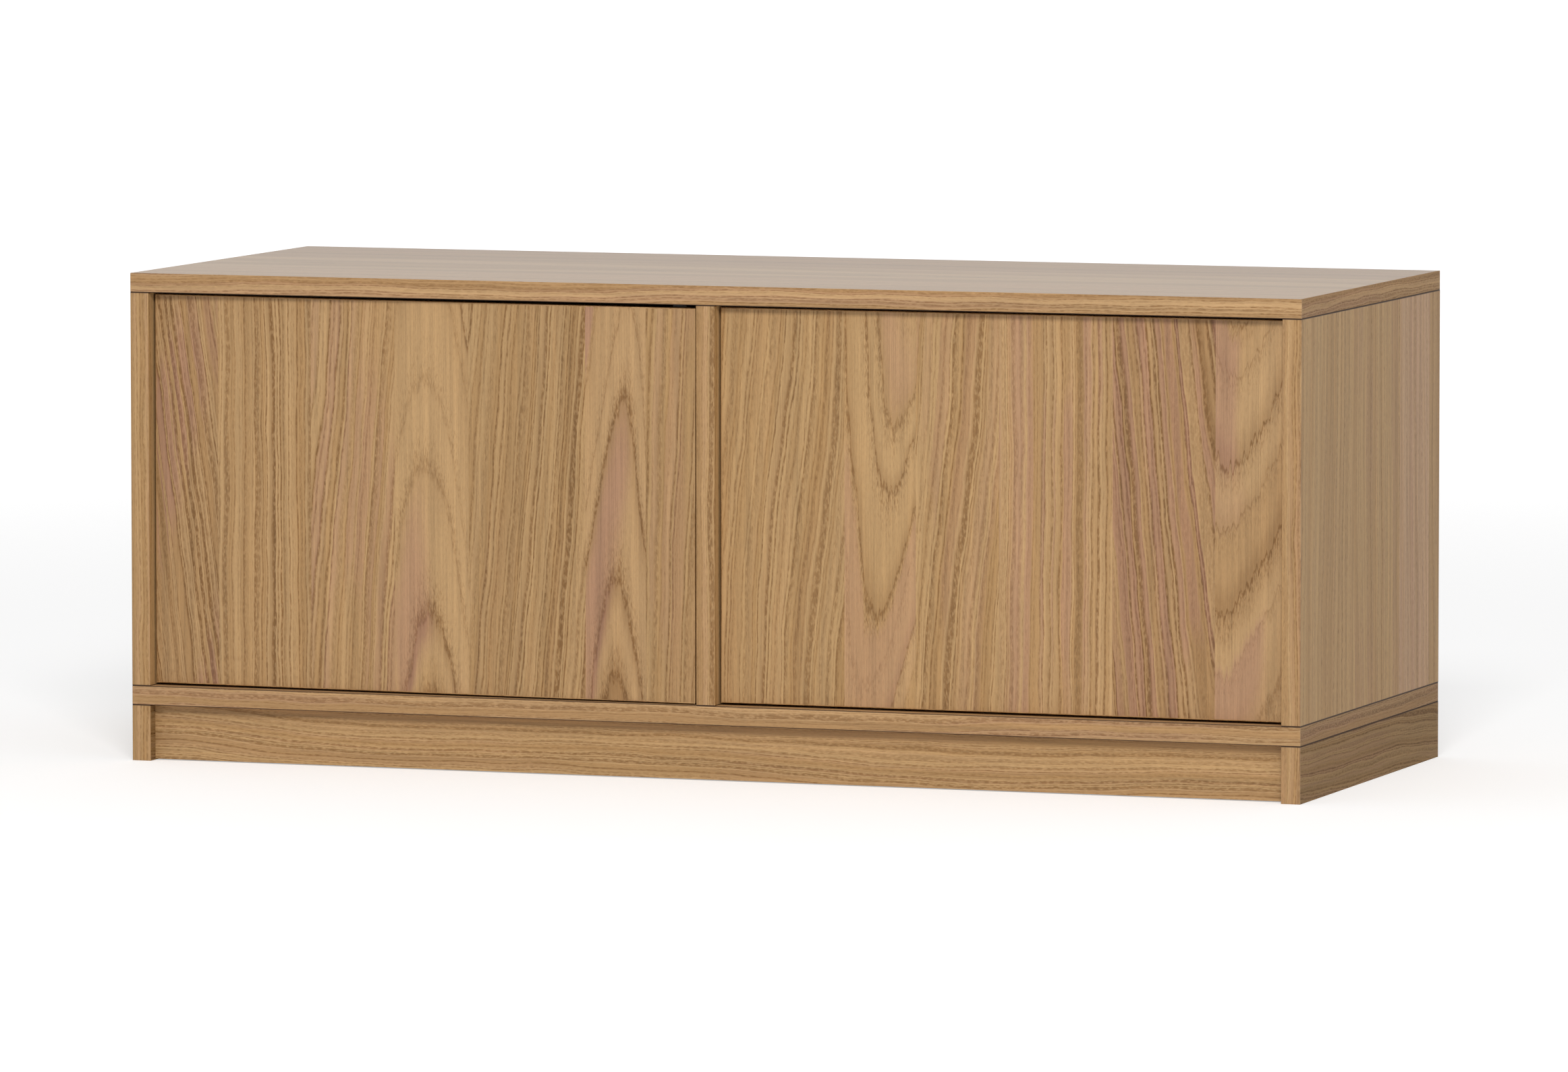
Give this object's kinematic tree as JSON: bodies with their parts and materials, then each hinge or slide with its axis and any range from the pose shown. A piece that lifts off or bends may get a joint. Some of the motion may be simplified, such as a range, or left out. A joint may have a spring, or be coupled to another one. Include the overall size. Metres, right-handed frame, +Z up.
{
  "type": "storage cabinet",
  "caption": "Low free-standing storage cabinet: wood-veneered carcass on a recessed plinth, flat inset push-open doors, a central divider and shelves.",
  "frame": {"origin": "on the floor under the middle of the cabinet", "axes": "+X to the right seen from the front, +Y to the back, +Z up; the doors face -Y"},
  "size_m": [1.2, 0.46, 0.48],
  "materials": {
    "top_veneer": "oak veneer, clear satin lacquer",
    "carcass_veneer": "oak veneer on particle board, clear satin lacquer",
    "edge_veneer": "oak edge band, clear satin lacquer",
    "door_veneer": "oak veneer, clear satin lacquer",
    "shelf_veneer": "oak veneer on particle board, clear satin lacquer",
    "back_panel": "thin veneered board",
    "plinth_veneer": "oak veneer on particle board, clear satin lacquer",
    "solid_wood": "bare beech",
    "hinge_steel": "nickel plated",
    "screw_steel": "zinc plated",
    "cast_zinc": "cast zinc",
    "pin_steel": "nickel plated",
    "latch_plastic": "fine matte"
  },
  "bodies": {
    "cabinet": {"back_panel": "back_panel", "back_panel_screws": "screw_steel", "bottom_board": "carcass_veneer", "bottom_front_band": "edge_veneer", "bottom_left_band": "edge_veneer", "bottom_right_band": "edge_veneer", "cam_bolts": "cast_zinc", "cam_locks": "cast_zinc", "divider": "carcass_veneer", "divider_band": "edge_veneer", "hinge_arm_screws": "hinge_steel", "hinge_plate_screws": "hinge_steel", "kick_board": "plinth_veneer", "latch_screws": "screw_steel", "left_latch_housing": "latch_plastic", "left_lower_hinge_arm": "hinge_steel", "left_lower_hinge_plate": "hinge_steel", "left_shelf": "shelf_veneer", "left_side": "carcass_veneer", "left_side_band": "edge_veneer", "left_upper_hinge_arm": "hinge_steel", "left_upper_hinge_plate": "hinge_steel", "plinth_block_screws": "screw_steel", "plinth_brace": "plinth_veneer", "plinth_corner_blocks": "solid_wood", "plinth_front_bands": "edge_veneer", "plinth_left_side": "plinth_veneer", "plinth_rear_rail": "plinth_veneer", "plinth_right_side": "plinth_veneer", "right_latch_housing": "latch_plastic", "right_lower_hinge_arm": "hinge_steel", "right_lower_hinge_plate": "hinge_steel", "right_shelf": "shelf_veneer", "right_side": "carcass_veneer", "right_side_band": "edge_veneer", "right_upper_hinge_arm": "hinge_steel", "right_upper_hinge_plate": "hinge_steel", "shelf_front_bands": "edge_veneer", "shelf_pins": "pin_steel", "top_board": "top_veneer", "top_front_band": "edge_veneer", "top_left_band": "edge_veneer", "top_right_band": "edge_veneer", "wood_dowels": "solid_wood"},
    "left_door": {"left_door": "door_veneer", "left_door_edge_bands": "edge_veneer", "left_door_hinge_screws": "screw_steel", "left_door_hinge_pins": "screw_steel", "left_strike_plate": "pin_steel", "left_upper_hinge_cup": "hinge_steel", "left_lower_hinge_cup": "hinge_steel"},
    "right_door": {"right_door": "door_veneer", "right_door_edge_bands": "edge_veneer", "right_door_hinge_screws": "screw_steel", "right_door_hinge_pins": "screw_steel", "right_strike_plate": "pin_steel", "right_upper_hinge_cup": "hinge_steel", "right_lower_hinge_cup": "hinge_steel"},
    "left_latch_plunger": {"left_latch_plunger": "latch_plastic"},
    "right_latch_plunger": {"right_latch_plunger": "latch_plastic"}
  },
  "joints": [
    {"name": "left_door_hinge", "type": "hinge", "parent": "cabinet", "child": "left_door", "pos_m": [-0.558, -0.2098, 0.2675], "axis": [0, 0, -1], "range_deg": [-0.9, 94.1]},
    {"name": "right_door_hinge", "type": "hinge", "parent": "cabinet", "child": "right_door", "pos_m": [0.558, -0.2098, 0.2675], "axis": [0, 0, 1], "range_deg": [0, 95]},
    {"name": "left_latch_slide", "type": "slide", "parent": "cabinet", "child": "left_latch_plunger", "axis": [0, -1, 0], "range_m": [-0.00014, 0.014]},
    {"name": "right_latch_slide", "type": "slide", "parent": "cabinet", "child": "right_latch_plunger", "axis": [0, -1, 0], "range_m": [0, 0.014]}
  ],
  "couplings": [
    {"joint": "left_latch_slide", "follows": "left_door_hinge", "m_per_rad": 0.0084},
    {"joint": "right_latch_slide", "follows": "right_door_hinge", "m_per_rad": 0.0084}
  ]
}
